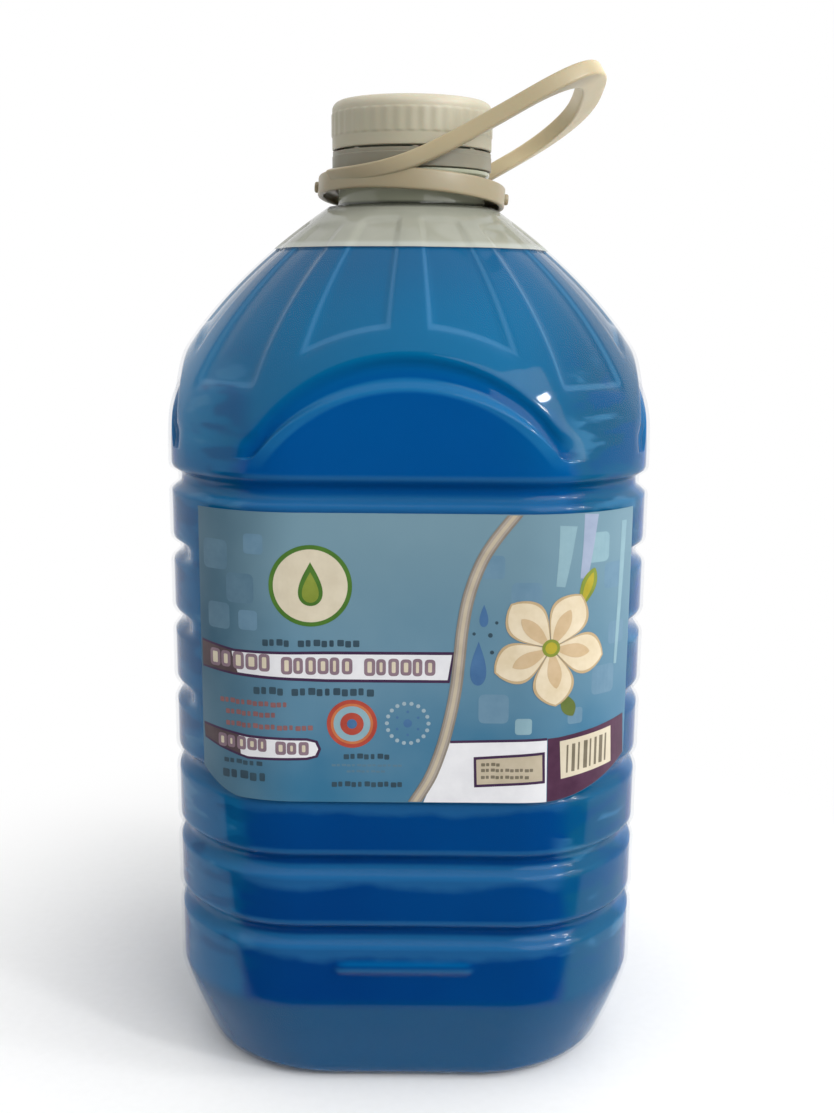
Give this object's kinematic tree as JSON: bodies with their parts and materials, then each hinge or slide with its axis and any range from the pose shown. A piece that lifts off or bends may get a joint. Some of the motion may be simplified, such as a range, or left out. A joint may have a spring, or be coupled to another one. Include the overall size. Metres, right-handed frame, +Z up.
{
  "type": "liquid soap refill bottle",
  "caption": "Square blown bottle of blue liquid soap with grip grooves, an arched shoulder, a screw cap on a tamper band, a loose carry handle ring with a loop, and a film label.",
  "frame": {"origin": "centre of the base, on the surface that the bottle stands on", "axes": "+Z up along the neck, -Y towards the label, +X to the right of the label, where the handle loop leans"},
  "size_m": [0.1522, 0.1531, 0.3212],
  "materials": {
    "clear_pet": "clear blown PET, glossy",
    "blue_soap": "translucent blue liquid",
    "cap_plastic": "satin moulded polyethylene",
    "liner_foam": "pressed foam wad",
    "band_plastic": "satin moulded polyethylene",
    "handle_plastic": "satin moulded polyethylene",
    "label_film": "printed film, satin"
  },
  "bodies": {
    "bottle": {"bottle": "clear_pet", "liquid_soap": "blue_soap", "tamper_band": "band_plastic", "front_label": "label_film"},
    "liner": {"cap_liner": "liner_foam"},
    "cap": {"cap": "cap_plastic"},
    "handle": {"carry_handle": "handle_plastic"}
  },
  "joints": [
    {"name": "liner_lift", "type": "slide", "parent": "bottle", "child": "liner", "axis": [0, 0, 1], "range_m": [0, 0.0158]},
    {"name": "cap_turn", "type": "hinge", "parent": "liner", "child": "cap", "pos_m": [0, 0, 0.3], "axis": [0, 0, 1], "range_deg": [0, 630]},
    {"name": "handle_swivel", "type": "hinge", "parent": "bottle", "child": "handle", "pos_m": [0, 0, 0.282], "axis": [0, 0, 1], "continuous": true}
  ],
  "couplings": [
    {"joint": "liner_lift", "follows": "cap_turn", "m_per_rad": 0.0014324}
  ]
}
